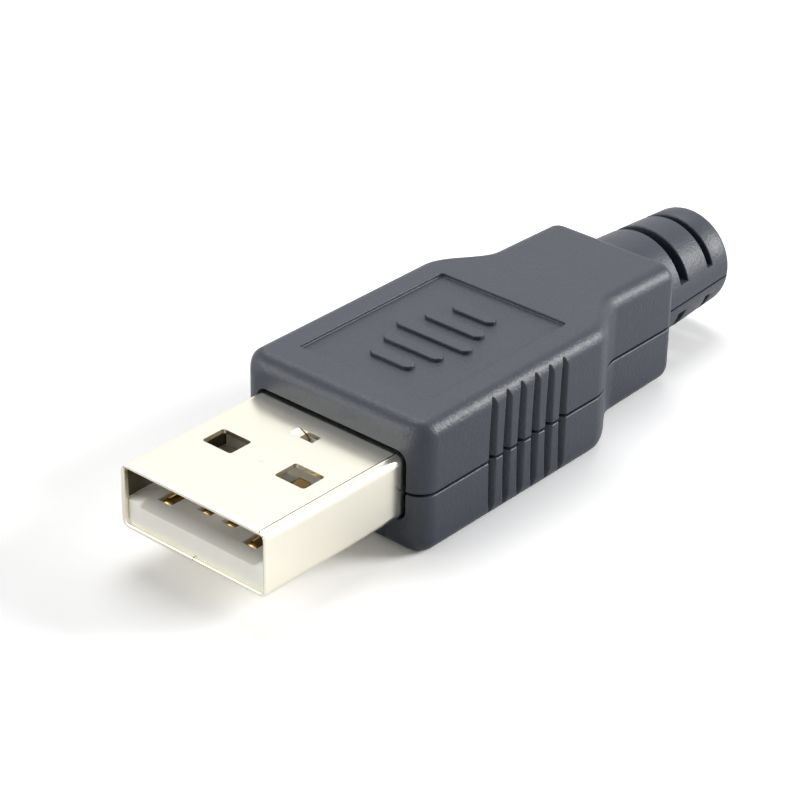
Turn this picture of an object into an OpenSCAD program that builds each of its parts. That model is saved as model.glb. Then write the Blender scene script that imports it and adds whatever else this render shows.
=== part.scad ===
// USB Type-A plug for soldering to a cable, in a two-part cover that snaps together.
// Millimetres. The mouth faces -Y, the cable leaves towards +Y and +Z is up.
// Each piece is drawn round the plug's axis with the mouth at y = 0, and is then stood on its cover:
// the origin of the model is the point on the ground below the middle of the plug's length.

/* [Shell] */
// Width of the folded steel shell
shell_w = 12; // [11.6:0.1:12.4]
// Height of the shell
shell_h = 4.5; // [4.3:0.1:4.9]
// Thickness of the sheet
sheet = 0.3; // [0.2:0.05:0.35]
// Outer radius of the folded corners
fold_r = 0.6; // [0.45:0.05:0.9]
// Length of shell that stands out of the cover
shell_out = 12; // [11.8:0.1:14]
// Length of shell that the cover holds
shell_in = 6.5; // [6:0.25:7.5]
// Width of each latching window
window_w = 2.4; // [1.8:0.1:2.6]
// Length of each latching window
window_l = 1.9; // [1.5:0.1:2.4]
// Distance from the mouth to the windows
window_y = 5.1; // [4.5:0.1:5.5]
// Distance from the axis to the middle of a window
window_x = 3; // [2.7:0.1:3.4]
// Width of the seam along the underside
seam = 0.08; // [0.05:0.01:0.12]

/* [Insulator] */
// Depth of the mouth down to the insulator's block
mouth_l = 8.65; // [8.4:0.05:9.2]
// Thickness of the tongue
tongue_t = 1.84; // [1.6:0.04:2]
// How far the tongue's tip stays behind the mouth
tongue_set = 0.3; // [0.1:0.05:0.6]
// Play between the insulator and the shell
slip = 0.05; // [0.02:0.01:0.1]
// Gap between the tongue and each side of the shell
tongue_gap = 0.1; // [0.05:0.01:0.3]
// Bevel of the tongue's front corners
tongue_bevel = 0.2; // [0.1:0.1:0.8]
// Length of the solder shelf behind the shell
shelf_l = 2; // [1.5:0.25:3]

/* [Contacts] */
// Width of a contact strip
contact_w = 1; // [0.8:0.05:1.2]
// Thickness of a contact strip
contact_t = 0.25; // [0.2:0.05:0.3]
// Height of a contact above the tongue
contact_rise = 0.06; // [0.02:0.02:0.12]
// Distance from the axis to the two data contacts
inner_x = 1; // [0.9:0.05:1.1]
// Distance from the axis to the supply and ground contacts
outer_x = 3.5; // [3.3:0.05:3.7]
// Distance from the mouth to the tips of the supply and ground contacts
outer_tip = 1.1; // [1:0.05:1.5]
// How much further back the tips of the data contacts lie
data_set = 1; // [0.8:0.1:1.4]
// Outer radius of a solder cup
cup_r = 0.7; // [0.55:0.05:0.8]
// Length of a solder cup
cup_l = 2.2; // [1.6:0.1:3]

/* [Cover] */
// Room between the shell and the cover's side walls
side_room = 0.25; // [0.15:0.05:1.2]
// Room between the shell and the roof
roof_room = 0.65; // [0.5:0.05:1.5]
// Room between the shell and the floor
floor_room = 0.85; // [0.6:0.05:1.5]
// Length of the wide part, up to where it starts to narrow
body_l = 17.2; // [17:0.2:22]
// Length over which the sides curve in to the neck
curve_l = 5; // [4:0.5:8]
// Room beside the cable on each side of the neck
neck_room = 1.5; // [1.4:0.1:2.2]
// Length of the neck
neck_l = 6.8; // [6.6:0.2:10]
// How much the roof and the floor close in along the curve and the neck
neck_drop = 0.3; // [0:0.1:0.6]
// Radius of the long edges
edge_r = 1.1; // [0.6:0.1:1.5]
// Radius of the upright front corners
corner_r = 1.4; // [0.8:0.1:2]
// Thickness of the cover's walls
wall = 1.3; // [1.2:0.05:1.4]
// Clearance between the shell and the opening in the cover's front
mouth_gap = 0.2; // [0.1:0.05:0.3]
// Depth of the parting plane below the plug's axis
part_drop = 0.4; // [0.2:0.1:0.8]
// Height of the shadow gap between the two halves
shadow_gap = 0.14; // [0.08:0.02:0.2]

/* [Grip] */
// Number of grooves on each side
groove_n = 6; // [4:1:8]
// Distance from one groove to the next
groove_pitch = 1.4; // [1.2:0.1:1.6]
// Radius of a groove's round section
groove_r = 0.42; // [0.3:0.02:0.5]
// Depth of a groove
groove_depth = 0.37; // [0.2:0.01:0.4]
// Distance from the cover's front to the middle of the first groove
groove_y = 6.66; // [5:0.2:8]
// Distance from the cover's sides to the sunk panel in the roof
panel_side = 2.33; // [2:0.1:3.5]
// Distance from the cover's front to the panel
panel_front = 2.8; // [2.4:0.2:3.4]
// Distance from the panel to where the sides start to narrow
panel_back = 0.5; // [0.2:0.1:2]
// Depth of the panel
panel_depth = 0.25; // [0.15:0.05:0.4]
// Number of thumb bars across the panel
bar_n = 5; // [3:2:5]
// Distance from one thumb bar to the next
bar_pitch = 2; // [1.6:0.1:2.2]

/* [Strain relief] */
// Length of the boot behind the neck
boot_l = 8.8; // [8.6:0.2:14]
// Radius of the bore for the cable
bore_r = 2.5; // [2:0.1:2.6]
// Thickness of the boot where it leaves the neck
boot_wall = 1.55; // [1.3:0.05:1.6]
// Thickness of the boot at its end
boot_end_wall = 1.1; // [0.9:0.05:1.3]
// How far the ribs in the neck bite into the cable
grip_bite = 0.3; // [0.1:0.05:0.6]
// Width of the slot beside the neck
wide_slot = 0.9; // [0.6:0.1:1.1]
// Width of the slot beside the end ring
thin_slot = 0.6; // [0.4:0.1:0.9]
// Length of the ring between the neck and the wide slot
root_l = 2.6; // [2:0.1:3]
// Length of the ring between the two slots
ring_l = 2.5; // [2:0.1:3]
// Half the height of the bridges that join the rings
bridge = 1.1; // [0.8:0.1:1.4]

/* [Snap fit] */
// Radius of the posts that the halves meet on
post_r = 0.9; // [0.8:0.05:1]
// Radius of the locating pegs
peg_r = 0.45; // [0.35:0.05:0.5]
// Length of the locating pegs
peg_l = 1.2; // [0.8:0.1:1.6]
// Play of the pegs, the lip and the latches
play = 0.05; // [0.03:0.01:0.08]
// Thickness of the lip inside the shadow gap
lip_t = 0.4; // [0.3:0.05:0.45]
// Height of the lip above the parting plane
lip_h = 0.8; // [0.5:0.1:1]

/* [Hidden] */

cover_black = "#3a3c42";
nickel = "#d9d8d0";
nylon_white = "#e9eae2";
gold = "#d8b04a";

far = 60;
eps = 0.01;
corner_steps = 8;
curve_steps = 12;
round_fn = 64;

// Size of the cover round what it holds
body_w = shell_w + 2 * (side_room + wall);
neck_w = 2 * (bore_r + neck_room + wall);
roof_z = shell_h / 2 + roof_room;
floor_z = -shell_h / 2 - floor_room;
body_top = roof_z + wall + max(panel_depth, neck_drop);
body_bottom = wall + neck_drop - floor_z;

// Places along the plug, from the mouth
front_y = shell_out;
shoulder_y = front_y + body_l;
neck_y = shoulder_y + curve_l;
neck_end = neck_y + neck_l;
total_l = neck_end + boot_l;
shell_l = shell_out + shell_in;
block_end = shell_l - 0.2;
shelf_end = shell_l + shelf_l;
cup_y = shelf_end + 0.2;
cup_end = cup_y + cup_l;

// Heights, from the plug's axis
part_z = -part_drop;
upper_z = part_z + shadow_gap;
shell_floor = -shell_h / 2 + sheet;
tongue_z = shell_floor + tongue_t;
strip_top = tongue_z + contact_rise;
strip_z = strip_top - contact_t;

// Space inside the shell
inner_w = shell_w - 2 * sheet;
inner_h = shell_h - 2 * sheet;
inner_r = max(fold_r - sheet, 0.05);

// Lance that holds the insulator's block
lance_w = 1.9;
lance_l = 0.85;
lance_back = 0.7;
lance_y = mouth_l + lance_back;
lance_drop = 0.4;
lance_share = 0.6;
lance_room = 0.1;

// Slots in the shell's sides, and the keys of the cover that sit in them
key_h = 1.6;
key_l = 0.8;
key_back = 1.5;
key_y = shell_l - key_back;
key_play = 0.1;
key_deep = sheet * 0.8;

// Saddles that carry the shell
saddle_t = 0.9;
saddle_ys = [front_y + wall + 1, key_y - saddle_t / 2];

// Posts, latches and cable ribs
post_ys = [cup_end + post_r + 0.4, shoulder_y + curve_l * 0.45];
latch_l = 1.4;
latch_y = neck_end - 3.5;
latch_t = 0.6;
latch_barb = 0.35;
latch_top = part_z + 2;
ledge_z = part_z + lip_h + 0.5;
grip_rib_t = 0.8;
grip_r = bore_r - grip_bite;
grip_ys = [latch_y - 1.6, neck_end - wall - grip_rib_t];

// Thumb bars
bar_w = 0.9;
bar_long = 6;
bar_step = 1.3;

// ---------- shared shapes ----------

function arc(x, y, r, from, to, steps) =
    [for (i = [0:steps]) let (a = from + (to - from) * i / steps) [x + r * cos(a), y + r * sin(a)]];

// Outline of a rectangle with round corners, reaching from `low` to `high` upright
function rounded(w, low, high, r, steps) = concat(
    arc(w / 2 - r, high - r, r, 0, 90, steps),
    arc(r - w / 2, high - r, r, 90, 180, steps),
    arc(r - w / 2, low + r, r, 180, 270, steps),
    arc(w / 2 - r, low + r, r, 270, 360, steps));

// Extrudes an outline drawn in X and Z from y0 to y1
module along(y0, y1) translate([0, y1, 0]) rotate([90, 0, 0]) linear_extrude(y1 - y0) children();

// Extrudes an outline drawn in Y and Z from x0 to x1
module across(x0, x1) translate([x0, 0, 0]) rotate([90, 0, 90]) linear_extrude(x1 - x0) children();

// A round bar along Y
module rod(r, y0, y1) translate([0, y1, 0]) rotate([90, 0, 0]) cylinder(r = r, h = y1 - y0, $fn = round_fn);

module both_sides() {
    children();
    mirror([1, 0, 0]) children();
}

module above(z) translate([-far / 2, -far / 2, z]) cube([far, 2 * far, far]);
module below(z) translate([-far / 2, -far / 2, z - far]) cube([far, 2 * far, far]);

// Stands the plug on the ground, with the middle of its length over the origin
module placed() translate([0, -total_l / 2, body_bottom]) children();

// ---------- shell ----------

// One straight stretch of the seam, from a to b
module seam_cut(a, b) {
    u = (b - a) / norm(b - a) * seam / 2;
    n = [-u[1], u[0]];
    translate([0, 0, -shell_h / 2 - eps]) linear_extrude(sheet + 2 * eps)
        polygon([a - u - n, b + u - n, b + u + n, a - u + n]);
}

// The seam runs down the underside, and two dovetails lock its edges
module seam_line() {
    out = 1;
    length = 1.6;
    flare = 0.3;
    starts = [3, shell_l - 5];
    bends = [for (y = starts) each [[0, y], [out, y - flare], [out, y + length + flare], [0, y + length]]];
    path = concat([[0, -1]], bends, [[0, shell_l + 1]]);
    for (i = [1:len(path) - 1]) seam_cut(path[i - 1], path[i]);
}

module windows() both_sides() translate([window_x, window_y + window_l / 2, -shell_h])
    linear_extrude(2 * shell_h) polygon(rounded(window_w, -window_l / 2, window_l / 2, 0.2, 4));

// Tongue of sheet that is cut free on three sides and bent down behind the block's step
module lance() {
    run = lance_w * lance_share;
    left = -lance_w / 2;
    along(lance_y + 0.05, lance_y + lance_l - 0.05) polygon([
        [left - eps, shell_h / 2], [left + run, shell_h / 2 - lance_drop],
        [left + run, shell_h / 2 - lance_drop - sheet], [left - eps, shell_h / 2 - sheet]]);
}

module shell() color(nickel) {
    difference() {
        along(0, shell_l) difference() {
            polygon(rounded(shell_w, -shell_h / 2, shell_h / 2, fold_r, corner_steps));
            polygon(rounded(inner_w, -inner_h / 2, inner_h / 2, inner_r, corner_steps));
        }
        windows();
        seam_line();
        translate([-lance_w / 2, lance_y, shell_h / 2 - sheet - eps]) cube([lance_w, lance_l, sheet + 1]);
        translate([-shell_w, key_y - key_l / 2 - key_play, -key_h / 2 - key_play])
            cube([2 * shell_w, key_l + 2 * key_play, key_h + 2 * key_play]);
    }
    lance();
}

// ---------- insulator ----------

// Side outline of the tongue, the block and the solder shelf, with a sloping tip for lead-in
module insulator_side() polygon([
    [tongue_set, shell_floor], [tongue_set, tongue_z - 0.5], [tongue_set + 0.7, tongue_z],
    [mouth_l, tongue_z], [mouth_l, inner_h / 2 - slip], [block_end, inner_h / 2 - slip],
    [block_end, strip_z], [shelf_end, strip_z], [shelf_end, shell_floor + 0.4], [shell_l, shell_floor]]);

// Walls that part the soldered ends on the shelf
module shelf_walls() {
    comb_t = 0.4;
    gap_x = (inner_x + outer_x) / 2;
    for (x = [-gap_x, 0, gap_x]) translate([x - comb_t / 2, shell_l - 0.5, strip_z - eps])
        cube([comb_t, shelf_l + 0.5, contact_t + 0.35]);
}

// Channel for one contact: open along the tongue, closed through the block
module contact_channel(x, tip) {
    w = contact_w + play;
    translate([x - w / 2, tip - play, strip_z]) cube([w, mouth_l - tip + play + eps, tongue_t]);
    translate([x - w / 2, mouth_l, strip_z]) cube([w, shelf_end, contact_t + play / 2]);
}

// Plan outline: the tongue with bevelled corners, the block, and a shelf that clears the cover's walls
module insulator_plan() {
    tongue_x = inner_w / 2 - tongue_gap;
    block_x = inner_w / 2 - slip;
    shelf_x = outer_x + cup_r + 0.1;
    right = [[tongue_x - tongue_bevel, tongue_set], [tongue_x, tongue_set + tongue_bevel], [tongue_x, mouth_l],
             [block_x, mouth_l], [block_x, block_end], [shelf_x, block_end], [shelf_x, shelf_end]];
    left = [for (i = [len(right) - 1:-1:0]) [-right[i][0], right[i][1]]];
    polygon(concat(right, left));
}

module insulator() color(nylon_white) difference() {
    union() {
        intersection() {
            across(-inner_w, inner_w) insulator_side();
            along(0, shelf_end)
                polygon(rounded(inner_w - 2 * slip, shell_floor, inner_h / 2, inner_r, corner_steps));
            translate([0, 0, -shell_h]) linear_extrude(2 * shell_h) insulator_plan();
        }
        shelf_walls();
    }
    contact_channel(-outer_x, outer_tip);
    contact_channel(-inner_x, outer_tip + data_set);
    contact_channel(inner_x, outer_tip + data_set);
    contact_channel(outer_x, outer_tip);
    // room for the lance
    translate([-lance_w / 2 - lance_room, lance_y - lance_room, inner_h / 2 - lance_drop - lance_room])
        cube([lance_w + 2 * lance_room, lance_l + 2 * lance_room, shell_h]);
    // hollows behind the lower windows, for the latches of the socket
    both_sides() translate([window_x - window_w / 2 - 0.2, window_y - 0.2, shell_floor - 1])
        cube([window_w + 0.4, window_l + 0.4, 1.4]);
}

// ---------- contacts ----------

// Half tube at the soldered end, open upwards
module solder_cup(y) translate([0, 0, strip_z + cup_r]) difference() {
    rod(cup_r, y, y + cup_l);
    rod(cup_r - contact_t, y - eps, y + cup_l + eps);
    translate([-cup_r - 1, y - 1, 0.1]) cube([2 * cup_r + 2, cup_l + 2, cup_r]);
}

// Strip from its rounded tip to its solder cup
module contact(x, tip) color(gold) translate([x, 0, 0]) {
    nose_r = contact_t * 0.8;
    across(-contact_w / 2, contact_w / 2)
        polygon(concat([[cup_y + 0.3, strip_top], [cup_y + 0.3, strip_z], [tip, strip_z]],
                       arc(tip + nose_r, strip_top - nose_r, nose_r, 180, 90, corner_steps)));
    solder_cup(cup_y);
}

module contact_vbus() contact(-outer_x, outer_tip);
module contact_data_minus() contact(-inner_x, outer_tip + data_set);
module contact_data_plus() contact(inner_x, outer_tip + data_set);
module contact_gnd() contact(outer_x, outer_tip);

// ---------- cover ----------

function ease(t) = (1 - cos(180 * min(max(t, 0), 1))) / 2;

// How far a rounded end of radius r draws in at a distance d from its face
function drawn_in(d, r) = d >= r ? 0 : r - sqrt(r * r - (r - d) * (r - d));

// Half width of the cover's sides: wide, then an S curve into the neck
function side_x(y) = body_w / 2 - (body_w - neck_w) / 2 * ease((y - shoulder_y) / curve_l);

// How much the roof and the floor have closed in at y
function closed_in(y) = neck_drop * max(y - shoulder_y, 0) / (neck_end - shoulder_y);

// Cross-section of the skin at y, as points in space
function skin_section(y) =
    let (ends = drawn_in(y - front_y, edge_r) + drawn_in(neck_end - y, edge_r) + closed_in(y),
         sides = drawn_in(y - front_y, corner_r) + drawn_in(neck_end - y, edge_r))
    [for (p = rounded(2 * (side_x(y) - sides), ends - body_bottom, body_top - ends, edge_r, corner_steps))
        [p[0], y, p[1]]];

function rounding_steps(r) = [for (i = [0:corner_steps]) r * (1 - cos(90 * i / corner_steps))];
function curve_ys() = [for (i = [0:curve_steps]) shoulder_y + curve_l * i / curve_steps];

// Moulded skin: a loft of rounded sections along the plug
module skin() {
    back = rounding_steps(edge_r);
    ys = concat([for (d = rounding_steps(corner_r)) front_y + d], curve_ys(),
                [for (i = [len(back) - 1:-1:0]) neck_end - back[i]]);
    rows = [for (y = ys) skin_section(y)];
    n = len(rows[0]);
    last = (len(rows) - 1) * n;
    polyhedron(
        points = [for (row = rows) each row],
        faces = concat(
            [[for (i = [n - 1:-1:0]) i]],
            [for (j = [0:len(rows) - 2], i = [0:n - 1])
                let (a = j * n + i, b = j * n + (i + 1) % n) each [[a, b, b + n], [a, b + n, a + n]]],
            [[for (i = [0:n - 1]) last + i]]));
}

// Outer form of the boot: a slight taper with a rounded rim
module boot() {
    rim_r = 0.5;
    rim = arc(bore_r + boot_end_wall - rim_r, boot_l - rim_r, rim_r, 0, 90, corner_steps);
    translate([0, neck_end, 0]) rotate([-90, 0, 0]) rotate_extrude($fn = round_fn)
        polygon(concat([[0, -edge_r], [bore_r + boot_wall, -edge_r]], rim, [[0, boot_l]]));
}

// Cable bore, through the neck's end wall and the boot, with a countersunk exit
module cable_bore() {
    exit = 0.3;
    rod(bore_r, neck_end - wall, total_l + 1);
    translate([0, total_l - exit, 0]) rotate([-90, 0, 0])
        cylinder(r1 = bore_r, r2 = bore_r + 2 * exit, h = 2 * exit, $fn = round_fn);
}

// Slots that let the boot bend: side = 1 above the axis, -1 below it
module boot_slots(side) {
    starts = [neck_end + root_l, neck_end + root_l + wide_slot + ring_l];
    widths = [wide_slot, thin_slot];
    for (i = [0, 1]) translate([-far / 2, starts[i], side > 0 ? bridge : -bridge - far])
        cube([far, widths[i], far]);
}

// Outline of a band inside one side wall, between two depths from the skin
function side_band(outer, inner, y0, y1) =
    let (ys = concat([y0], curve_ys(), [y1]))
    concat([for (y = ys) [side_x(y) - outer, y]],
           [for (i = [len(ys) - 1:-1:0]) [side_x(ys[i]) - inner, ys[i]]]);

// Room inside both halves, from z0 to z1
module cavity(z0, z1) {
    right = [for (y = concat([front_y + wall], curve_ys(), [neck_end - wall])) [side_x(y) - wall, y]];
    left = [for (i = [len(right) - 1:-1:0]) [-right[i][0], right[i][1]]];
    translate([0, 0, z0]) linear_extrude(z1 - z0) polygon(concat(right, left));
}

// Opening in the front wall, with clearance round the shell
module mouth_opening() along(front_y - 1, front_y + wall + 1)
    polygon(rounded(shell_w + 2 * mouth_gap, -shell_h / 2 - mouth_gap, shell_h / 2 + mouth_gap,
                    fold_r + mouth_gap, corner_steps));

// Grip grooves: round-bottomed and upright, running out on the rounded edges
module grooves() both_sides() for (i = [0:groove_n - 1])
    translate([body_w / 2 + groove_r - groove_depth, front_y + groove_y + i * groove_pitch, -far / 2])
        cylinder(r = groove_r, h = far, $fn = round_fn);

// Sunk panel in the roof, less the thumb bars that stay level with the roof
module panel_cut() {
    panel_w = body_w - 2 * panel_side;
    panel_l = body_l - panel_front - panel_back;
    middle = front_y + panel_front + panel_l / 2;
    low = body_top - panel_depth;
    panel_r = 0.3;
    difference() {
        translate([0, middle, low]) linear_extrude(1)
            polygon(rounded(panel_w, -panel_l / 2, panel_l / 2, panel_r, 4));
        for (i = [0:bar_n - 1]) {
            from_middle = i - (bar_n - 1) / 2;
            length = bar_long - bar_step * abs(from_middle);
            translate([0, middle + from_middle * bar_pitch, low - 1]) linear_extrude(3)
                polygon(rounded(length, -bar_w / 2, bar_w / 2, bar_w / 2 - eps, corner_steps));
        }
    }
}

// Saddles that carry the shell, with keys for the slots in its sides
module saddles(z0, z1) difference() {
    for (y = saddle_ys) translate([eps - body_w / 2 + wall / 2, y, z0])
        cube([body_w - wall - 2 * eps, saddle_t, z1 - z0]);
    difference() {
        along(front_y, shell_l + 1) polygon(rounded(shell_w, -shell_h / 2, shell_h / 2, fold_r, corner_steps));
        both_sides() translate([shell_w / 2 - key_deep, key_y - key_l / 2, -key_h / 2]) cube([1, key_l, key_h]);
    }
}

// Ribs that grip the cable's jacket
module cable_ribs(z0, z1) for (y = grip_ys) difference() {
    translate([wall / 2 - neck_w / 2, y, z0]) cube([neck_w - wall, grip_rib_t, z1 - z0]);
    rod(grip_r, y - 1, y + grip_rib_t + 1);
}

// Posts stand against the side walls
function post_x(y) = side_x(y) - wall - post_r + play;

module posts(z0, z1) both_sides() for (y = post_ys)
    translate([post_x(y), y, z0]) cylinder(r = post_r, h = z1 - z0, $fn = round_fn);

// Pegs of the lower half, or the sockets for them
module pegs(r, l) both_sides() for (y = post_ys)
    translate([post_x(y), y, part_z - eps]) cylinder(r = r, h = l + eps, $fn = round_fn);

// Latch arm that rises from the neck's wall, with a barb for the ledge of the upper half
module latches() both_sides() {
    face = neck_w / 2 - wall - play;
    across_y = [latch_y - latch_l / 2, latch_y + latch_l / 2];
    along(across_y[0], across_y[1]) polygon([
        [face - latch_t, floor_z - eps], [face + wall / 2, floor_z - eps], [face + wall / 2, part_z - 0.5],
        [face, part_z - 0.5], [face, ledge_z + play], [face + latch_barb, ledge_z + play],
        [face + latch_barb, ledge_z + 0.25], [face, latch_top], [face - latch_t, latch_top]]);
}

// Pocket in the upper half for the barbs of the latches
module latch_pockets() both_sides()
    translate([neck_w / 2 - wall - 2 * play, latch_y - latch_l / 2 - 2 * play, ledge_z])
        cube([latch_barb + 3 * play, latch_l + 4 * play, latch_top - ledge_z + play]);

// Lip of the lower half behind the shadow gap, or the rebate for it
module lip(outer, inner, height, spare) both_sides() translate([0, 0, part_z - eps])
    linear_extrude(height + eps)
        polygon(side_band(outer, inner, front_y + wall - spare, neck_end - wall + spare));

module cover_top() color(cover_black) difference() {
    union() {
        difference() {
            intersection() {
                union() {
                    skin();
                    boot();
                }
                above(upper_z);
            }
            cavity(upper_z - 1, roof_z);
        }
        saddles(upper_z, roof_z + eps);
        cable_ribs(upper_z, roof_z + eps);
        posts(part_z, roof_z + eps);
    }
    mouth_opening();
    cable_bore();
    boot_slots(1);
    grooves();
    panel_cut();
    pegs(peg_r + play, peg_l + 0.2);
    lip(wall - lip_t - play, wall + play, lip_h + 0.1, play);
    latch_pockets();
}

module cover_bottom() color(cover_black) {
    difference() {
        union() {
            difference() {
                intersection() {
                    union() {
                        skin();
                        boot();
                    }
                    below(part_z);
                }
                cavity(floor_z, part_z + 1);
            }
            saddles(floor_z - eps, part_z);
            cable_ribs(floor_z - eps, part_z);
            posts(floor_z - eps, part_z);
            latches();
            lip(wall - lip_t, wall, lip_h, 0);
        }
        mouth_opening();
        cable_bore();
        boot_slots(-1);
        grooves();
    }
    pegs(peg_r, peg_l);
}

placed() cover_top();
placed() cover_bottom();
placed() shell();
placed() insulator();
placed() contact_vbus();
placed() contact_data_minus();
placed() contact_data_plus();
placed() contact_gnd();
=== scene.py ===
import math

import bmesh
import bpy
from mathutils import Euler, Matrix, Vector


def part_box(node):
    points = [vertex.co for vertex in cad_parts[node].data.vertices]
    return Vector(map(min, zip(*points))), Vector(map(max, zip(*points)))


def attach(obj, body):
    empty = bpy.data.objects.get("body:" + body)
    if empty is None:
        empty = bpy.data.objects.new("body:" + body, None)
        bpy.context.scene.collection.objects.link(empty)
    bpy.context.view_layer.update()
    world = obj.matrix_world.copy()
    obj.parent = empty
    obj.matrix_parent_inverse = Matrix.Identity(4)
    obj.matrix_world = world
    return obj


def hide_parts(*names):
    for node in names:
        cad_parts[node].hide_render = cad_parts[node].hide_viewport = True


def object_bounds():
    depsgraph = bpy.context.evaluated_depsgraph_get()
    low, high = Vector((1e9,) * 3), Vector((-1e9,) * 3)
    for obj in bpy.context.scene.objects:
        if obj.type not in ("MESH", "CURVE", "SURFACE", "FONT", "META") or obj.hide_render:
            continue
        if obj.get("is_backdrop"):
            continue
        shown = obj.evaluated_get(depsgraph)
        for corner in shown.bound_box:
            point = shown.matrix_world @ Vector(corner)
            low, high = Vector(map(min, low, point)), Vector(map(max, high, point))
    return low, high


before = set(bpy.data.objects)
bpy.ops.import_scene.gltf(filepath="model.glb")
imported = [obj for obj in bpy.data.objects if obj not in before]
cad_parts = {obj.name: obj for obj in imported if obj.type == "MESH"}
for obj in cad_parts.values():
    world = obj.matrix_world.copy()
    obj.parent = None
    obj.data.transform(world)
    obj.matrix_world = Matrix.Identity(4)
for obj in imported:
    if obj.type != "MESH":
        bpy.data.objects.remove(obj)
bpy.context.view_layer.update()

# Pieces are drawn in millimetres round the plug's axis with the mouth at y = 0.
# finished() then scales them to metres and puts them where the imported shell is.
shellLow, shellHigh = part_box("shell")
mouth = Vector((0, shellLow.y, (shellLow.z + shellHigh.z) / 2))


def colour(hexCode):
    # sRGB hex to the linear colour that the nodes take
    parts = [int(hexCode[i:i + 2], 16) / 255 for i in (1, 3, 5)]
    return [c / 12.92 if c <= 0.04045 else ((c + 0.055) / 1.055) ** 2.4 for c in parts] + [1]


def addNode(tree, kind, settings=None, values=None, links=None):
    node = tree.nodes.new(kind)
    for name, value in (settings or {}).items():
        setattr(node, name, value)
    for socket, value in (values or {}).items():
        node.inputs[socket].default_value = value
    for socket, source in (links or {}).items():
        tree.links.new(source, node.inputs[socket])
    return node


def emptyTree(name):
    material = bpy.data.materials.new(name)
    material.use_nodes = True
    material.node_tree.nodes.clear()
    return material, material.node_tree


def draft(bm, name):
    # puts a bmesh in the scene, still in millimetres
    bmesh.ops.recalc_face_normals(bm, faces=bm.faces)
    mesh = bpy.data.meshes.new(name)
    bm.to_mesh(mesh)
    bm.free()
    piece = bpy.data.objects.new(name, mesh)
    bpy.context.scene.collection.objects.link(piece)
    return piece


def combine(piece, tool, operation):
    # joins, cuts or keeps the overlap with a second piece, which is used up
    change = piece.modifiers.new("combine", "BOOLEAN")
    change.operation = operation
    change.solver = "MANIFOLD"
    change.object = tool
    seen = piece.evaluated_get(bpy.context.evaluated_depsgraph_get())
    mesh = bpy.data.meshes.new_from_object(seen)
    piece.modifiers.clear()
    piece.data = mesh
    bpy.data.objects.remove(tool)


def finished(piece, materials, nodes, sharp=35):
    # smooth faces with sharp edges marked, in metres at the plug's place, riding on the body
    bm = bmesh.new()
    bm.from_mesh(piece.data)
    bmesh.ops.remove_doubles(bm, verts=bm.verts, dist=0.0005)
    bmesh.ops.dissolve_degenerate(bm, edges=bm.edges, dist=0.0005)
    for face in bm.faces:
        face.smooth = True
        face.material_index = 0
    for edge in bm.edges:
        edge.smooth = len(edge.link_faces) == 2 and edge.calc_face_angle(0) < math.radians(sharp)
    bm.to_mesh(piece.data)
    bm.free()
    piece.data.transform(Matrix.Translation(mouth) @ Matrix.Scale(0.001, 4))
    piece.data.materials.clear()
    for material in materials:
        piece.data.materials.append(material)
    weighted = piece.modifiers.new("flat faces stay flat", "WEIGHTED_NORMAL")
    weighted.keep_sharp = True
    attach(piece, "root")
    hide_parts(*nodes)


def block(low, high):
    bm = bmesh.new()
    bmesh.ops.create_cube(bm, size=1)
    size = Vector(high) - Vector(low)
    bmesh.ops.scale(bm, vec=size, verts=bm.verts)
    bmesh.ops.translate(bm, vec=(Vector(low) + Vector(high)) / 2, verts=bm.verts)
    return bm


def roundEdges(bm, wanted, radius, steps):
    edges = [e for e in bm.edges if e.calc_face_angle(0) > 1 and wanted(*[v.co for v in e.verts])]
    bmesh.ops.bevel(bm, geom=edges, offset=radius, offset_type="OFFSET", segments=steps,
                    profile=0.5, affect="EDGES", material=-1)


def slicePlanes(bm, places, axis):
    normal = Vector([1.0 if i == axis else 0.0 for i in range(3)])
    for place in places:
        bmesh.ops.bisect_plane(bm, geom=bm.verts[:] + bm.edges[:] + bm.faces[:], dist=0.0001,
                               plane_co=normal * place, plane_no=normal)


def stepIn(bm, face, rounds):
    # insets a face again and again, each time by (inwards, along its normal)
    for inwards, depth in rounds:
        bmesh.ops.inset_region(bm, faces=[face], thickness=inwards, depth=depth, use_even_offset=True)


def quarter(radius, steps, hollow):
    # the insets of a quarter round: hollow starts steep, the other starts flat
    angles = [math.pi / 2 * i / steps for i in range(steps + 1)]
    points = [(radius * math.sin(a), radius * (1 - math.cos(a))) if hollow
              else (radius * (1 - math.cos(a)), radius * math.sin(a)) for a in angles]
    return [(b[0] - a[0], b[1] - a[1]) for a, b in zip(points, points[1:])]


def spun(outline, steps=96):
    # closed solid spun round the plug's axis from (radius, y) points that start and end on it
    bm = bmesh.new()
    verts = [bm.verts.new((r, y, 0)) for r, y in outline]
    edges = [bm.edges.new(pair) for pair in zip(verts, verts[1:])]
    bmesh.ops.spin(bm, geom=verts + edges, cent=(0, 0, 0), axis=(0, 1, 0), dvec=(0, 0, 0),
                   angle=math.tau, steps=steps, use_merge=True, use_duplicate=False)
    bmesh.ops.remove_doubles(bm, verts=bm.verts, dist=0.0001)
    bmesh.ops.recalc_face_normals(bm, faces=bm.faces)
    return bm


def arcPoints(centre, radius, start, end, steps):
    angles = [math.radians(start + (end - start) * i / steps) for i in range(steps + 1)]
    return [(centre[0] + radius * math.cos(a), centre[1] + radius * math.sin(a)) for a in angles]


def trimmed(bm, z, keepAbove):
    # closes the cut again, so the piece stays solid
    made = bmesh.ops.bisect_plane(bm, geom=bm.verts[:] + bm.edges[:] + bm.faces[:], dist=0.0001,
                                  plane_co=(0, 0, z), plane_no=(0, 0, 1),
                                  clear_inner=keepAbove, clear_outer=not keepAbove)
    edges = [g for g in made["geom_cut"] if isinstance(g, bmesh.types.BMEdge)]
    bmesh.ops.holes_fill(bm, edges=edges, sides=0)
    return bm


# Materials

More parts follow.
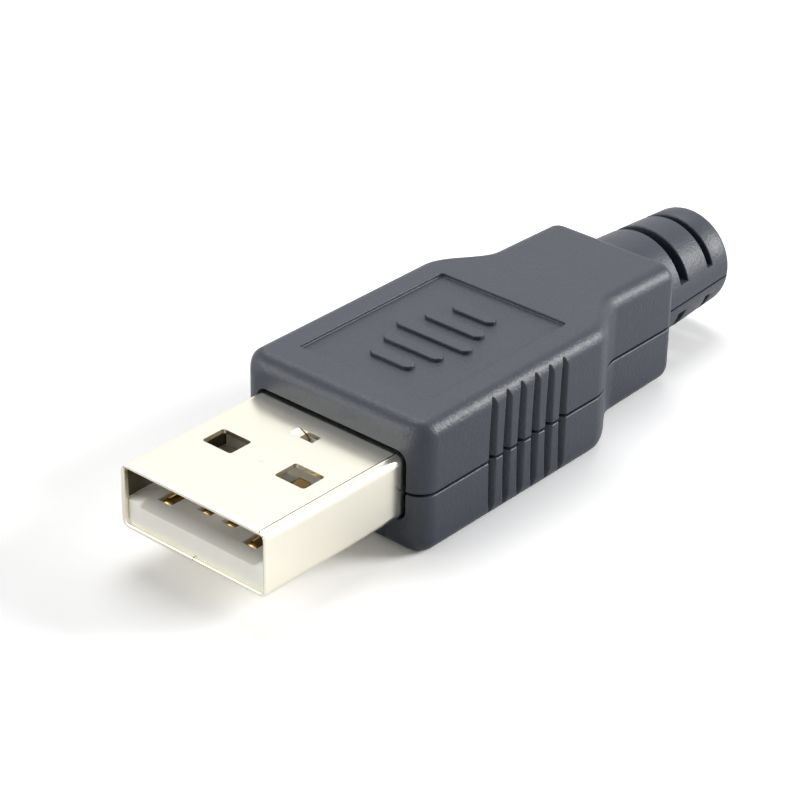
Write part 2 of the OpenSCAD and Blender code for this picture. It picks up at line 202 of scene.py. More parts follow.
# ABS, injection moulded in a spark-eroded tool: a black that its satin grain turns to slate under
# a bright room, with a fine speckle where a rounded edge catches the light. The real grain is
# finer: it is drawn coarser here so that it shows.
blackAbs = {"black": "#242a36", "worn": "#2e3441", "grainMm": 0.2, "grainMicrons": 36,
            "cloudMm": 6, "roughness": (0.34, 0.5)}
mouldedAbs, tree = emptyTree("mouldedAbs")
place = addNode(tree, "ShaderNodeTexCoord").outputs["Object"]
grain = addNode(tree, "ShaderNodeTexNoise",
                values={"Scale": 1000 / blackAbs["grainMm"], "Detail": 3, "Roughness": 0.6},
                links={"Vector": place})
cloud = addNode(tree, "ShaderNodeTexNoise", values={"Scale": 1000 / blackAbs["cloudMm"], "Detail": 2},
                links={"Vector": place})
tone = addNode(tree, "ShaderNodeMix", {"data_type": "RGBA"},
               {"A": colour(blackAbs["black"]), "B": colour(blackAbs["worn"])},
               {"Factor": cloud.outputs["Fac"]})
shine = addNode(tree, "ShaderNodeMapRange",
                values={"To Min": blackAbs["roughness"][0], "To Max": blackAbs["roughness"][1]},
                links={"Value": grain.outputs["Fac"]})
bump = addNode(tree, "ShaderNodeBump", values={"Strength": 1, "Distance": blackAbs["grainMicrons"] * 1e-6},
               links={"Height": grain.outputs["Fac"]})
plastic = addNode(tree, "ShaderNodeBsdfPrincipled", values={"IOR": 1.54},
                  links={"Base Color": tone.outputs["Result"], "Roughness": shine.outputs["Result"],
                         "Normal": bump.outputs["Normal"]})
addNode(tree, "ShaderNodeOutputMaterial", links={"Surface": plastic.outputs["BSDF"]})

# Bright nickel plate on rolled steel sheet: a warm, almost white mirror that the sheet's grain softens.
# Inside the shell, on the roof's lower edge and in the crease, a duller, darker and browner copy of the plate
# is painted shade.
plate = {"nickel": "#fdf9ea", "dull": "#f8f3e3", "roughness": (0.17, 0.25)}
paintedShadePlate = {"nickel": "#8b836f", "dull": "#6b6352", "roughness": (0.3, 0.42)}
rolling = {"cloudMm": 3, "waveMm": 2.5, "waveMicrons": 4}


def nickelOnSteel(name, look):
    material, tree = emptyTree(name)
    place = addNode(tree, "ShaderNodeTexCoord").outputs["Object"]
    cloud = addNode(tree, "ShaderNodeTexNoise", values={"Scale": 1000 / rolling["cloudMm"], "Detail": 4},
                    links={"Vector": place})
    wave = addNode(tree, "ShaderNodeTexNoise", values={"Scale": 1000 / rolling["waveMm"], "Detail": 1},
                   links={"Vector": place})
    tone = addNode(tree, "ShaderNodeMix", {"data_type": "RGBA"},
                   {"A": colour(look["nickel"]), "B": colour(look["dull"])}, {"Factor": cloud.outputs["Fac"]})
    shine = addNode(tree, "ShaderNodeMapRange",
                    values={"To Min": look["roughness"][0], "To Max": look["roughness"][1]},
                    links={"Value": cloud.outputs["Fac"]})
    bump = addNode(tree, "ShaderNodeBump", values={"Strength": 1, "Distance": rolling["waveMicrons"] * 1e-6},
                   links={"Height": wave.outputs["Fac"]})
    metal = addNode(tree, "ShaderNodeBsdfPrincipled", values={"Metallic": 1},
                    links={"Base Color": tone.outputs["Result"], "Roughness": shine.outputs["Result"],
                           "Normal": bump.outputs["Normal"]})
    addNode(tree, "ShaderNodeOutputMaterial", links={"Surface": metal.outputs["BSDF"]})
    return material


nickelPlate = nickelOnSteel("nickelPlate", plate)
# the darker copy of the plate is painted shade
paintedShadeNickel = nickelOnSteel("paintedShadeNickel", paintedShadePlate)

# Nylon, injection moulded: off-white, a little milky at its thin edges, with a soft gloss
nylon = {"milk": "#fcfaf1", "shade": "#f3f0e4", "cloudMm": 2, "grainMm": 0.3, "grainMicrons": 2}
mouldedNylon, tree = emptyTree("mouldedNylon")
place = addNode(tree, "ShaderNodeTexCoord").outputs["Object"]
cloud = addNode(tree, "ShaderNodeTexNoise", values={"Scale": 1000 / nylon["cloudMm"], "Detail": 3},
                links={"Vector": place})
grain = addNode(tree, "ShaderNodeTexNoise", values={"Scale": 1000 / nylon["grainMm"], "Detail": 2},
                links={"Vector": place})
tone = addNode(tree, "ShaderNodeMix", {"data_type": "RGBA"},
               {"A": colour(nylon["milk"]), "B": colour(nylon["shade"])},
               {"Factor": cloud.outputs["Fac"]})
bump = addNode(tree, "ShaderNodeBump", values={"Strength": 1, "Distance": nylon["grainMicrons"] * 1e-6},
               links={"Height": grain.outputs["Fac"]})
milky = addNode(tree, "ShaderNodeBsdfPrincipled",
                values={"IOR": 1.53, "Roughness": 0.38, "Subsurface Weight": 0.15, "Subsurface Scale": 0.0004},
                links={"Base Color": tone.outputs["Result"], "Normal": bump.outputs["Normal"]})
addNode(tree, "ShaderNodeOutputMaterial", links={"Surface": milky.outputs["BSDF"]})

# Gold flash on stamped phosphor bronze: warm yellow, duller in the rolling scratches along the strip.
# The scratches are drawn coarser than the real ones so that they show.
flash = {"gold": "#f8dfa0", "bronze": "#e3bf78", "scratchMm": 0.08, "scratchMicrons": 0.8, "alongStrip": 0.08}
goldFlash, tree = emptyTree("goldFlash")
place = addNode(tree, "ShaderNodeTexCoord").outputs["Object"]
drawn = addNode(tree, "ShaderNodeMapping", values={"Scale": (1, flash["alongStrip"], 1)},
                links={"Vector": place})
scratch = addNode(tree, "ShaderNodeTexNoise", values={"Scale": 1000 / flash["scratchMm"], "Detail": 2},
                  links={"Vector": drawn.outputs["Vector"]})
tone = addNode(tree, "ShaderNodeMix", {"data_type": "RGBA"},
               {"A": colour(flash["gold"]), "B": colour(flash["bronze"])},
               {"Factor": scratch.outputs["Fac"]})
bump = addNode(tree, "ShaderNodeBump", values={"Strength": 1, "Distance": flash["scratchMicrons"] * 1e-6},
               links={"Height": scratch.outputs["Fac"]})
metal = addNode(tree, "ShaderNodeBsdfPrincipled", values={"Metallic": 1, "Roughness": 0.24},
                links={"Base Color": tone.outputs["Result"], "Normal": bump.outputs["Normal"]})
addNode(tree, "ShaderNodeOutputMaterial", links={"Surface": metal.outputs["BSDF"]})
print("materials made")

# Cover

cover = {
    "halfWidth": 7.55, "roof": 4.5, "floor": -4.7,
    "front": 12, "shoulder": 29.2, "curve": 5, "back": 41,
    "neckHalf": 5.3, "neckDrop": 0.3,
    "edgeRadius": 1.1, "cornerRadius": 1.4, "wall": 1.3,
    "parting": -0.4, "gap": 0.14, "softEdge": 0.12, "jointBand": 0.6,
    "roomRoof": 2.9, "roomFloor": -3.1,
    "mouthHalf": 6.2, "mouthHeight": 2.45, "mouthCorner": 0.8,
}
grip = {"count": 6, "first": 18.66, "pitch": 1.4, "half": 0.32, "depth": 0.52, "bottom": 0.05, "rim": 0.07,
        "spread": 1.4, "straight": 2.6, "lift": 0.5}
panel = {"halfWidth": 5.22, "from": 14.8, "to": 28.7, "depth": 0.25, "corner": 0.3, "rim": 0.07, "foot": 0.07}
bars = {"count": 5, "pitch": 2, "width": 0.9, "longest": 6, "shorter": 1.3, "rim": 0.07}


def drawnIn(distance, radius):
    # how far a quarter round has drawn in at a distance from its end
    if distance >= radius:
        return 0
    return radius - math.sqrt(max(radius ** 2 - (radius - distance) ** 2, 0))


def sideAt(y):
    share = min(max((y - cover["shoulder"]) / cover["curve"], 0), 1)
    return cover["halfWidth"] - (cover["halfWidth"] - cover["neckHalf"]) * (1 - math.cos(math.pi * share)) / 2


def grooveDepth(y):
    # a V with a rounded bottom and rounded rims, where smoothing blends over a length
    number = min(max(round((y - grip["first"]) / grip["pitch"]), 0), grip["count"] - 1)
    d = abs(y - grip["first"] - number * grip["pitch"])
    slope = grip["depth"] / grip["half"]
    bottom = math.sqrt(d * d + grip["bottom"] ** 2) - grip["bottom"]
    h = grip["depth"] - slope * bottom
    return (h + math.sqrt(h * h + grip["rim"] ** 2)) / 2


def runOut(z):
    # the cutter leaves the side wall towards the roof and the floor, so a groove ends in a point
    rise = max(abs(z) - grip["straight"], 0) / (cover["roof"] - grip["straight"])
    return grip["lift"] * rise ** 2


def stations():
    ends = [1 - math.cos(math.pi / 2 * i / 12) for i in range(13)]
    ys = [cover["front"] + cover["cornerRadius"] * e for e in ends[1:]]
    ys += [cover["back"] - cover["edgeRadius"] * e for e in ends[1:]]
    ys += [cover["shoulder"] + cover["curve"] * i / 30 for i in range(31)]
    for i in range(grip["count"]):
        middle = grip["first"] + i * grip["pitch"]
        ys += [middle + grip["half"] * grip["spread"] * k / 16 for k in range(-16, 17)]
    return sorted(ys)


def coverHalf(name, upper):
    outer = cover["roof"] if upper else cover["floor"]
    joint = cover["parting"] + (cover["gap"] if upper else 0)
    away = 1 if upper else -1
    half, edge = cover["halfWidth"], cover["edgeRadius"]
    bm = block((-half, cover["front"], min(joint, outer)), (half, cover["back"], max(joint, outer)))
    roundEdges(bm, lambda a, b: a.z == b.z and abs(a.z - outer) < 0.001 and a.x == b.x, edge, 20)
    slicePlanes(bm, stations(), 1)
    slicePlanes(bm, [joint + away * cover["softEdge"] * i / 5 for i in range(1, 6)], 2)
    slicePlanes(bm, [joint + away * cover["jointBand"]], 2)
    core, arcZ = half - edge, outer - away * edge
    for v in bm.verts:
        y = v.co.y
        sink = drawnIn(y - cover["front"], edge) + drawnIn(cover["back"] - y, edge)
        sink += cover["neckDrop"] * max(y - cover["shoulder"], 0) / (cover["back"] - cover["shoulder"])
        narrow = half - sideAt(y) + drawnIn(y - cover["front"], cover["cornerRadius"])
        narrow += drawnIn(cover["back"] - y, edge)
        x = abs(v.co.x)
        x = x - narrow if x >= core - 1e-4 else x * (core - narrow) / core
        near = grip["first"] - grip["pitch"] / 2 < y < grip["first"] + (grip["count"] - 0.5) * grip["pitch"]
        v.co.x = math.copysign(min(x, half - grooveDepth(y) + runOut(v.co.z)) if near else x, v.co.x)
        if (v.co.z - arcZ) * away >= -1e-4:
            v.co.z -= away * sink
        else:
            v.co.z = joint + (v.co.z - joint) * (arcZ - away * sink - joint) / (arcZ - joint)
    bm.normal_update()
    for v in bm.verts:
        height = (v.co.z - joint) * away
        flat = Vector((v.normal.x, v.normal.y, 0))
        if height < cover["softEdge"] and flat.length > 0.2:
            v.co -= flat.normalized() * drawnIn(height, cover["softEdge"])
    return draft(bm, name)


def room(low, high, inset, start, end):
    # a hollow that follows the cover's sides at a depth of inset
    bm = block((-1, start, low), (1, end, high))
    slicePlanes(bm, [cover["shoulder"] + cover["curve"] * i / 16 for i in range(17)], 1)
    for v in bm.verts:
        v.co.x *= sideAt(v.co.y) - inset
    return draft(bm, "room")


boot = {"length": 8.8, "bore": 2.5, "root": 4.05, "end": 3.6, "rim": 0.5, "sunk": 0.9,
        "slots": [(43.6, 44.5), (47.0, 47.6)], "bridge": 1.1, "slotRim": 0.12, "flare": 0.3}


def bootRadius(y):
    return boot["root"] - (boot["root"] - boot["end"]) * (y - cover["back"]) / boot["length"]


def bootHalf(upper):
    tip = cover["back"] + boot["length"]
    rim = boot["rim"]
    rounded = arcPoints((boot["end"] - rim, tip - rim), rim, 0, 90, 10)
    inside = cover["back"] - boot["sunk"]
    outline = [(0, inside), (boot["root"], inside), (boot["root"], cover["back"])]
    tube = draft(spun(outline + rounded + [(0, tip)]), "boot")
    for start, end in boot["slots"]:
        f = boot["slotRim"]
        near, rear = bootRadius(start - f), bootRadius(end + f)
        profile = [(0, start)] + arcPoints((near - f, start - f), f, 90, 0, 5) + [(near + 1, start - f)]
        profile += [(rear + 1, end + f)] + arcPoints((rear - f, end + f), f, 0, -90, 5) + [(0, end)]
        for above in (True, False):
            z = boot["bridge"] if above else -boot["bridge"]
            combine(tube, draft(trimmed(spun(profile), z, above), "slot"), "DIFFERENCE")
    bm = bmesh.new()
    bm.from_mesh(tube.data)
    bpy.data.objects.remove(tube)
    joint = cover["parting"] + (cover["gap"] if upper else 0)
    return draft(trimmed(bm, joint, upper), "bootHalf")


def sunkPanel():
    length = panel["to"] - panel["from"]
    grown = panel["rim"]
    top = cover["roof"]
    bm = block((-panel["halfWidth"] - grown, panel["from"] - grown, top),
               (panel["halfWidth"] + grown, panel["to"] + grown, top + 1))
    roundEdges(bm, lambda a, b: a.z != b.z, panel["corner"] + grown, 8)
    face = min(bm.faces, key=lambda f: f.calc_center_median().z)
    stepIn(bm, face, quarter(grown, 4, True))
    stepIn(bm, face, [(0, panel["depth"] - grown - panel["foot"])])
    stepIn(bm, face, quarter(panel["foot"], 4, False))
    return draft(bm, "panel")


def addThumbBars(half):
    middle = (panel["from"] + panel["to"]) / 2
    for i in range(bars["count"]):
        fromMiddle = i - (bars["count"] - 1) / 2
        long = (bars["longest"] - bars["shorter"] * abs(fromMiddle)) / 2
        y = middle + fromMiddle * bars["pitch"]
        bar = block((-long, y - bars["width"] / 2, cover["roof"] - panel["depth"] - 0.1),
                    (long, y + bars["width"] / 2, cover["roof"] - bars["rim"]))
        roundEdges(bar, lambda a, b: a.z != b.z, bars["width"] / 2 - 0.01, 10)
        face = max(bar.faces, key=lambda f: f.calc_center_median().z)
        stepIn(bar, face, quarter(bars["rim"], 4, False))
        combine(half, draft(bar, "bar"), "UNION")


ribs = {"front": (35.9, 36.7), "rear": (38.9, 39.7), "hole": 2.2, "holeFrom": 35, "holeTo": 40}
lip = {"foot": 0.2, "height": 0.8, "inset": 0.92, "ends": 0.38, "room": 0.9, "roomInset": 0.85}
halves = (("cover_upper_half", "cover_top", True), ("cover_lower_half", "cover_bottom", False))
for name, node, upper in halves:
    half = coverHalf(name, upper)
    combine(half, bootHalf(upper), "UNION")
    low, high = (-1, cover["roomRoof"]) if upper else (cover["roomFloor"], 1)
    front, back = cover["front"] + cover["wall"], cover["back"] - cover["wall"]
    if not upper:
        # the lip that stands behind the parting line
        rail = room(cover["parting"] - lip["foot"], cover["parting"] + lip["height"], lip["inset"],
                    front - lip["ends"], back + lip["ends"])
        combine(half, rail, "UNION")
    combine(half, room(low, high, cover["wall"], front, ribs["front"][0]), "DIFFERENCE")
    combine(half, room(low, high, cover["wall"], ribs["front"][1], ribs["rear"][0]), "DIFFERENCE")
    if upper:
        lipRoom = room(-1, cover["parting"] + lip["room"], lip["roomInset"], front, back)
        combine(half, lipRoom, "DIFFERENCE")
    hole = [(0, ribs["holeFrom"]), (ribs["hole"], ribs["holeFrom"]), (ribs["hole"], ribs["holeTo"]),
            (0, ribs["holeTo"])]
    combine(half, draft(spun(hole), "hole"), "DIFFERENCE")
    tip = cover["back"] + boot["length"]
    bore, flare = boot["bore"], boot["flare"]
    entry = [(0, back), (bore, back), (bore, tip - flare), (bore + 2 * flare, tip + flare), (0, tip + flare)]
    combine(half, draft(spun(entry), "bore"), "DIFFERENCE")
    opening = block((-cover["mouthHalf"], cover["front"] - 1, -cover["mouthHeight"]),
                    (cover["mouthHalf"], front + 1, cover["mouthHeight"]))
    roundEdges(opening, lambda a, b: a.y != b.y, cover["mouthCorner"], 8)
    combine(half, draft(opening, "opening"), "DIFFERENCE")
    if upper:
        combine(half, sunkPanel(), "DIFFERENCE")
        addThumbBars(half)
    finished(half, [mouldedAbs], [node])
    print(name, "made,", len(half.data.polygons), "faces")


# Shell

shell = {"halfWidth": 6, "halfHeight": 2.25, "length": 18.5, "sheet": 0.3, "fold": 0.6, "edge": 0.08,
         "windowX": 3, "windowWidth": 2.4, "windowFrom": 5.1, "windowTo": 7.0, "windowCorner": 0.2,
         "lanceHalf": 0.95, "lanceFrom": 9.35, "lanceTo": 10.2, "lanceReach": 1.0, "lanceDrop": 0.5,
         "lanceGap": 0.05, "lanceBend": 1.6,
         "keyFrom": 16.5, "keyTo": 17.5, "keyHalf": 0.9,
         "seam": 0.08, "tails": (3, 13.5), "tailReach": 1, "tailLength": 1.6, "tailFlare": 0.3,
         "dimpleY": 5.9, "dimpleHalf": 0.3, "dimpleDeep": 0.04, "creaseX": 5.42, "crease": 0.07,
         "paintedShadeFrom": 0.35, "paintedShadeAbove": -0.2,
         # cross cuts beside the openings keep the smoothing of the long walls even
         "crossCuts": (4.2, 8, 9, 10.6, 12, 15.5)}
past = 3  # a height beyond the sheet, for cuts that go through it


def foldedSheet():
    w, h = shell["halfWidth"], shell["halfHeight"]
    bm = block((-w, 0, -h), (w, shell["length"], h))
    ends = [f for f in bm.faces if abs(f.normal.y) > 0.9]
    bmesh.ops.delete(bm, geom=ends, context="FACES_ONLY")
    roundEdges(bm, lambda a, b: a.y != b.y, shell["fold"], 12)
    slicePlanes(bm, shell["crossCuts"], 1)
    bmesh.ops.recalc_face_normals(bm, faces=bm.faces)
    bmesh.ops.solidify(bm, geom=bm.faces[:], thickness=shell["sheet"])
    bmesh.ops.recalc_face_normals(bm, faces=bm.faces)
    for end in (0, shell["length"]):
        roundEdges(bm, lambda a, b: abs(a.y - end) < 1e-4 and abs(b.y - end) < 1e-4, shell["edge"], 3)
    # the painted shade inside the shell begins at these two cuts
    slicePlanes(bm, [shell["paintedShadeFrom"]], 1)
    slicePlanes(bm, [shell["paintedShadeAbove"]], 2)
    return draft(bm, "shell_sheet")


def bentLance():
    # tongue that stays joined to the roof on its left and bends down to the right
    top = shell["halfHeight"]
    left = -shell["lanceHalf"]
    gap = shell["lanceGap"]
    bm = block((left, shell["lanceFrom"] + gap, top - shell["sheet"]),
               (left + shell["lanceReach"], shell["lanceTo"] - gap, top))
    slicePlanes(bm, [left + shell["lanceReach"] * i / 10 for i in range(1, 10)], 0)
    for v in bm.verts:
        v.co.z -= shell["lanceDrop"] * ((v.co.x - left) / shell["lanceReach"]) ** shell["lanceBend"]
    # a hair to the left, so that it overlaps the roof that it grows from
    bmesh.ops.translate(bm, vec=(-0.001, 0, 0), verts=bm.verts)
    return draft(bm, "lance")


def seamSlit(start, end):
    run = Vector(end) - Vector(start)
    half = shell["seam"] / 2
    bm = block((-half, -half, -past), (half, run.length + half, -1.6))
    turn = Matrix.Rotation(math.atan2(-run.x, run.y), 3, "Z")
    bmesh.ops.rotate(bm, cent=(0, 0, 0), matrix=turn, verts=bm.verts)
    bmesh.ops.translate(bm, vec=(start[0], start[1], 0), verts=bm.verts)
    return draft(bm, "slit")


sheetPiece = foldedSheet()
for side in (-1, 1):
    x = side * shell["windowX"]
    wide = shell["windowWidth"] / 2
    window = block((x - wide, shell["windowFrom"], -past), (x + wide, shell["windowTo"], past))
    roundEdges(window, lambda a, b: a.z != b.z, shell["windowCorner"], 5)
    combine(sheetPiece, draft(window, "window"), "DIFFERENCE")
    wall = side * shell["halfWidth"]
    key = block((wall - 1, shell["keyFrom"], -shell["keyHalf"]), (wall + 1, shell["keyTo"], shell["keyHalf"]))
    combine(sheetPiece, draft(key, "keySlot"), "DIFFERENCE")
wide = shell["lanceHalf"]
opening = block((-wide, shell["lanceFrom"], past / 2), (wide, shell["lanceTo"], past))
combine(sheetPiece, draft(opening, "opening"), "DIFFERENCE")
combine(sheetPiece, bentLance(), "UNION")
seamPath = [(0, -1)]
for y in shell["tails"]:
    flare, rear = shell["tailFlare"], y + shell["tailLength"]
    seamPath += [(0, y), (shell["tailReach"], y - flare), (shell["tailReach"], rear + flare), (0, rear)]
seamPath.append((0, shell["length"] + 1))
for start, end in zip(seamPath, seamPath[1:]):
    combine(sheetPiece, seamSlit(start, end), "DIFFERENCE")
bm = bmesh.new()
bmesh.ops.create_uvsphere(bm, u_segments=24, v_segments=16, radius=1)
bmesh.ops.scale(bm, vec=(shell["dimpleHalf"], shell["dimpleHalf"] * 0.7, shell["dimpleDeep"]), verts=bm.verts)
bmesh.ops.translate(bm, vec=(0, shell["dimpleY"], shell["halfHeight"]), verts=bm.verts)
combine(sheetPiece, draft(bm, "dimple"), "DIFFERENCE")
# the line that the folding die leaves where the roof starts to turn down; its dark colour, given below, is
# painted shade
bm = block((shell["creaseX"], -1, shell["halfHeight"] - shell["crease"]),
           (shell["creaseX"] + shell["crease"], cover["front"] + 2, past))
combine(sheetPiece, draft(bm, "crease"), "DIFFERENCE")
finished(sheetPiece, [nickelPlate, paintedShadeNickel], ["shell"])
# painted shade: the darker copy of the plate on the inner faces, the roof's lower edge and the crease
within = shell["sheet"] - 0.01
underside = shell["halfHeight"] - shell["sheet"]
for face in sheetPiece.data.polygons:
    x, y, z = (face.center - mouth) * 1000
    inside = abs(x) < shell["halfWidth"] - within and abs(z) < shell["halfHeight"] - within
    roofEdge = abs(x) < shell["halfWidth"] - within and abs(z - underside) < 0.05
    belowRoof = shell["halfHeight"] - z
    inCrease = -0.01 < x - shell["creaseX"] < shell["crease"] + 0.01 and 0.005 < belowRoof < 0.15
    if inside and y > shell["paintedShadeFrom"] and z > shell["paintedShadeAbove"] or roofEdge or inCrease:
        face.material_index = 1
print("shell made,", len(sheetPiece.data.polygons), "faces")


# Insulator and contacts

insulator = {"left": -5.68, "right": 5.6, "floor": -1.95, "tongue": -0.11, "front": 0.3, "slopeTo": 1.0,
             "slopeDrop": 0.5, "earFrom": 4.75, "earRamp": 0.12, "rightEarIn": 0.35, "earDrop": 0.24,
             "block": 8.65, "blockTo": 18.3,
             "blockTop": 1.9, "blockHalf": 5.65, "shelfTo": 20.5, "shelfHalf": 4.3, "edge": 0.04}
# what is left open in it for the contacts, the lance and the latches of the socket
rooms = {"ahead": 0.08, "grooveHalf": 0.56, "passageHalf": 0.53, "passageTo": 21,
         "lanceHalf": 1.05, "lanceFrom": 9.25, "lanceTo": 10.3, "lanceFloor": 1.45,
         "hollowHalf": 1.4, "hollowFrom": 4.9, "hollowTo": 7.2, "hollowTop": -1.55}
combs = {"places": (-2.25, 0, 2.25), "half": 0.2, "from": 18, "top": 0.3}
strip = {"half": 0.5, "top": -0.05, "thick": 0.25, "deep": 0.4, "reach": 0.05, "nose": 0.5, "crown": 0.9,
         "to": 20.7, "cupTo": 22.9, "cupRadius": 0.7}
contacts = {"contact_vbus": (-3.5, 1.3), "contact_data_minus": (-1, 2.1),
            "contact_data_plus": (1, 2.1), "contact_gnd": (3.5, 1.3)}


def breakEdges(bm, width, sharp=40):
    # every edge broken as a mould or a die leaves it
    edges = [e for e in bm.edges if len(e.link_faces) == 2 and e.calc_face_angle(0) > math.radians(sharp)]
    bmesh.ops.bevel(bm, geom=edges, offset=width, offset_type="OFFSET", segments=2, profile=0.5,
                    affect="EDGES", material=-1, clamp_overlap=True)


def tongue():
    bm = block((insulator["left"], insulator["front"], insulator["floor"]),
               (insulator["right"], insulator["block"], insulator["tongue"]))
    slicePlanes(bm, [insulator["slopeTo"]], 1)
    ear, ramp = insulator["earFrom"], insulator["earRamp"]
    rightEar = ear + insulator["rightEarIn"]
    slicePlanes(bm, [-ear, -ear + ramp, ear - ramp, rightEar], 0)
    for v in bm.verts:
        if v.co.y < insulator["front"] + 0.01 and v.co.z > insulator["tongue"] - 0.01:
            raised = v.co.x < -ear + 0.01 or v.co.x > rightEar - 0.05
            v.co.z -= insulator["earDrop"] if raised else insulator["slopeDrop"]
    breakEdges(bm, insulator["edge"], 15)
    return draft(bm, "insulator_body")


body = tongue()
rear = block((-insulator["blockHalf"], insulator["block"] - 0.01, insulator["floor"]),
             (insulator["blockHalf"], insulator["blockTo"], insulator["blockTop"]))
breakEdges(rear, insulator["edge"])
combine(body, draft(rear, "rear"), "UNION")
underStrip = strip["top"] - strip["thick"]
shelf = block((-insulator["shelfHalf"], insulator["blockTo"] - 0.5, insulator["floor"] + 0.4),
              (insulator["shelfHalf"], insulator["shelfTo"], underStrip))
breakEdges(shelf, insulator["edge"])
combine(body, draft(shelf, "shelf"), "UNION")
for x, tip in contacts.values():
    front = tip - strip["reach"] - rooms["ahead"]
    groove = block((x - rooms["grooveHalf"], front, underStrip - 0.2),
                   (x + rooms["grooveHalf"], insulator["block"] + 0.01, 1))
    combine(body, draft(groove, "channel"), "DIFFERENCE")
    passage = block((x - rooms["passageHalf"], insulator["block"], underStrip),
                    (x + rooms["passageHalf"], rooms["passageTo"], strip["top"] + 0.03))
    combine(body, draft(passage, "channel"), "DIFFERENCE")
lanceRoom = block((-rooms["lanceHalf"], rooms["lanceFrom"], rooms["lanceFloor"]),
                  (rooms["lanceHalf"], rooms["lanceTo"], past))
combine(body, draft(lanceRoom, "lanceRoom"), "DIFFERENCE")
for side in (-1, 1):
    x = side * shell["windowX"]
    hollow = block((x - rooms["hollowHalf"], rooms["hollowFrom"], -past),
                   (x + rooms["hollowHalf"], rooms["hollowTo"], rooms["hollowTop"]))
    combine(body, draft(hollow, "hollow"), "DIFFERENCE")
for x in combs["places"]:
    comb = block((x - combs["half"], combs["from"], underStrip - 0.1),
                 (x + combs["half"], insulator["shelfTo"], combs["top"]))
    combine(body, draft(comb, "comb"), "UNION")
finished(body, [mouldedNylon], ["insulator"])


def contactStrip(x, tip):
    # domed across its width, with a nose that rolls down into the tongue's slope
    top = strip["top"]
    start = tip - strip["reach"]
    bm = block((x - strip["half"], start, top - strip["deep"]), (x + strip["half"], strip["to"], top))
    slicePlanes(bm, [x + strip["half"] * math.sin(math.pi / 2 * i / 8) for i in range(-7, 8)], 0)
    slicePlanes(bm, [start + strip["nose"] * (1 - math.cos(math.pi / 2 * i / 10)) for i in range(1, 11)], 1)
    slicePlanes(bm, [insulator["block"] - 1, insulator["block"]], 1)
    for v in bm.verts:
        rolling = drawnIn(v.co.y - start, strip["nose"]) / strip["nose"]
        across = abs(v.co.x - x) / strip["half"]
        domed = strip["deep"] * (1 - math.sqrt(1 - strip["crown"] * across ** 2))
        v.co.x = x + (v.co.x - x) * (1 - 0.6 * rolling)
        if v.co.z > top - 0.01:
            v.co.z -= domed + (0.95 * strip["deep"] - domed) * rolling
            if v.co.y > insulator["block"] - 0.5:
                v.co.z = top
        elif v.co.y > insulator["block"] - 0.5:
            v.co.z = top - strip["thick"]
    return bm


def solderCup(x):
    # half tube, open upwards
    r = strip["cupRadius"]
    axis = strip["top"] - strip["thick"] + r
    bm = bmesh.new()
    made = [bm.verts.new((x - radius, strip["to"], axis)) for radius in (r, r - strip["thick"])]
    edge = bm.edges.new(made)
    bmesh.ops.spin(bm, geom=made + [edge], cent=(x, strip["to"], axis), axis=(0, 1, 0), dvec=(0, 0, 0),
                   angle=-math.pi, steps=20, use_duplicate=False)
    grown = bmesh.ops.extrude_face_region(bm, geom=bm.faces[:])
    moved = [g for g in grown["geom"] if isinstance(g, bmesh.types.BMVert)]
    bmesh.ops.translate(bm, vec=(0, strip["cupTo"] - strip["to"], 0), verts=moved)
    return bm


for node, (x, tip) in contacts.items():
    piece = draft(contactStrip(x, tip), node + "_strip")
    combine(piece, draft(solderCup(x), "cup"), "UNION")
    finished(piece, [goldFlash], [node])
print("insulator and contacts made")


# Floor, light and camera

studio = {"paper": 0.5, "inMetal": 0.5, "inCamera": 0.8, "worldForDiffuse": 0.22, "floorHalf": 0.25}
softboxes = {
    "frontLight": {"place": (-0.24, -0.38, 0.1), "aim": (0, 0, 0), "size": 0.45, "watts": 1.45},
    "topLight": {"place": (-0.14, 0.12, 0.38), "aim": (0, 0, 0), "size": 0.3, "watts": 0.75},
    "sheenLight": {"place": (0.22, 0.23, 0.14), "aim": (0, 0.01, 0.005), "size": 0.16, "watts": 1.1},
}

bm = bmesh.new()
bmesh.ops.create_grid(bm, x_segments=1, y_segments=1, size=studio["floorHalf"])
floor = draft(bm, "floor")
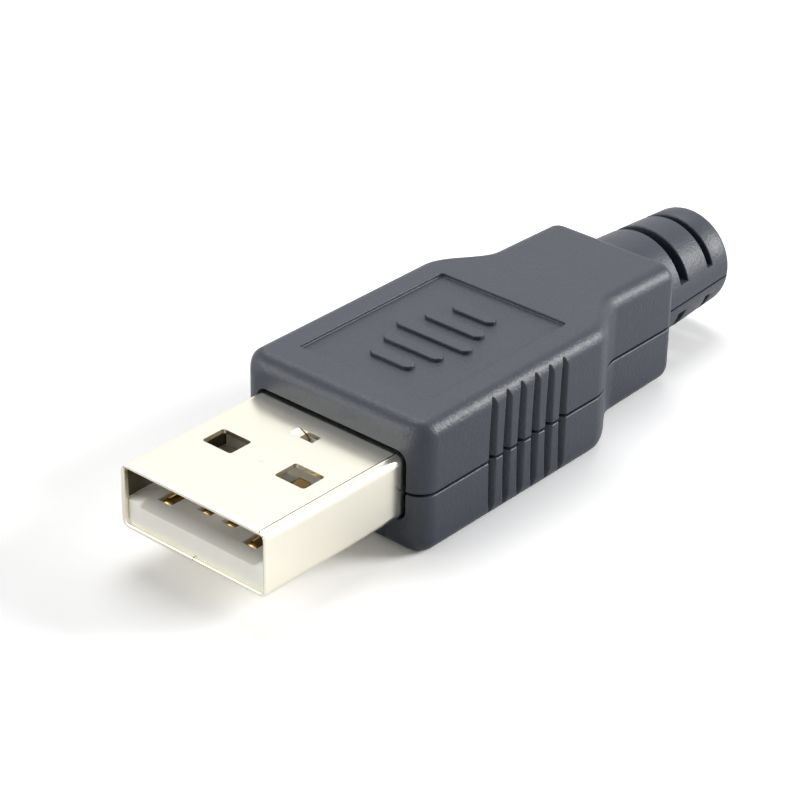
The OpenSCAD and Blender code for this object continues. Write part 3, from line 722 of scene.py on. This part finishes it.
# the paper is lighter where metal mirrors it and white to the camera, and keeps the plug's shadow
whitePaper, tree = emptyTree("whitePaper")
ray = addNode(tree, "ShaderNodeLightPath")
mirrored = addNode(tree, "ShaderNodeMath", {"operation": "MULTIPLY_ADD"},
                   {1: studio["inMetal"], 2: studio["paper"]}, {0: ray.outputs["Is Glossy Ray"]})
seen = addNode(tree, "ShaderNodeMath", {"operation": "MULTIPLY_ADD"},
               {1: studio["inCamera"]}, {0: ray.outputs["Is Camera Ray"], 2: mirrored.outputs[0]})
paper = addNode(tree, "ShaderNodeBsdfDiffuse", links={"Color": seen.outputs[0]})
addNode(tree, "ShaderNodeOutputMaterial", links={"Surface": paper.outputs["BSDF"]})
floor.data.materials.append(whitePaper)
floor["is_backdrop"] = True

world = bpy.data.worlds.new("whiteRoom")
bpy.context.scene.world = world
world.use_nodes = True
tree = world.node_tree
tree.nodes.clear()
ray = addNode(tree, "ShaderNodeLightPath")
seen = addNode(tree, "ShaderNodeMath", {"operation": "MAXIMUM"},
               links={0: ray.outputs["Is Camera Ray"], 1: ray.outputs["Is Glossy Ray"]})
seen = addNode(tree, "ShaderNodeMath", {"operation": "MAXIMUM"},
               links={0: seen.outputs[0], 1: ray.outputs["Is Transmission Ray"]})
level = addNode(tree, "ShaderNodeMapRange", values={"To Min": studio["worldForDiffuse"], "To Max": 1},
                links={"Value": seen.outputs[0]})
sky = addNode(tree, "ShaderNodeBackground", values={"Color": (1, 1, 1, 1)},
              links={"Strength": level.outputs["Result"]})
addNode(tree, "ShaderNodeOutputWorld", links={"Surface": sky.outputs["Background"]})


def softbox(name, place, aim, size, watts):
    light = bpy.data.lights.new(name, "AREA")
    light.shape = "DISK"
    light.size = size
    light.energy = watts
    lamp = bpy.data.objects.new(name, light)
    lamp.location = place
    lamp.rotation_euler = (Vector(aim) - Vector(place)).to_track_quat("-Z", "Y").to_euler()
    bpy.context.scene.collection.objects.link(lamp)


for name, box in softboxes.items():
    softbox(name, box["place"], box["aim"], box["size"], box["watts"])

view = {"aim": (0.00508, -0.0123, 0.0102), "distance": 0.16, "azimuth": 40.433, "elevation": 29.609,
        "roll": 1.218, "lens": 120.58}
lens = bpy.data.cameras.new("camera")
lens.sensor_width = 36
lens.lens = view["lens"]
lens.clip_start = 0.001
lens.clip_end = 20
camera = bpy.data.objects.new("camera", lens)
turn = Euler((math.radians(90 - view["elevation"]), 0, math.radians(view["azimuth"]))).to_matrix()
turn = turn @ Matrix.Rotation(math.radians(view["roll"]), 3, "Z")
camera.rotation_euler = turn.to_euler()
camera.location = Vector(view["aim"]) + turn @ Vector((0, 0, view["distance"]))
bpy.context.scene.collection.objects.link(camera)
bpy.context.scene.camera = camera
bpy.context.scene.view_settings.view_transform = "Standard"
print("floor, light and camera made")

low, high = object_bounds()
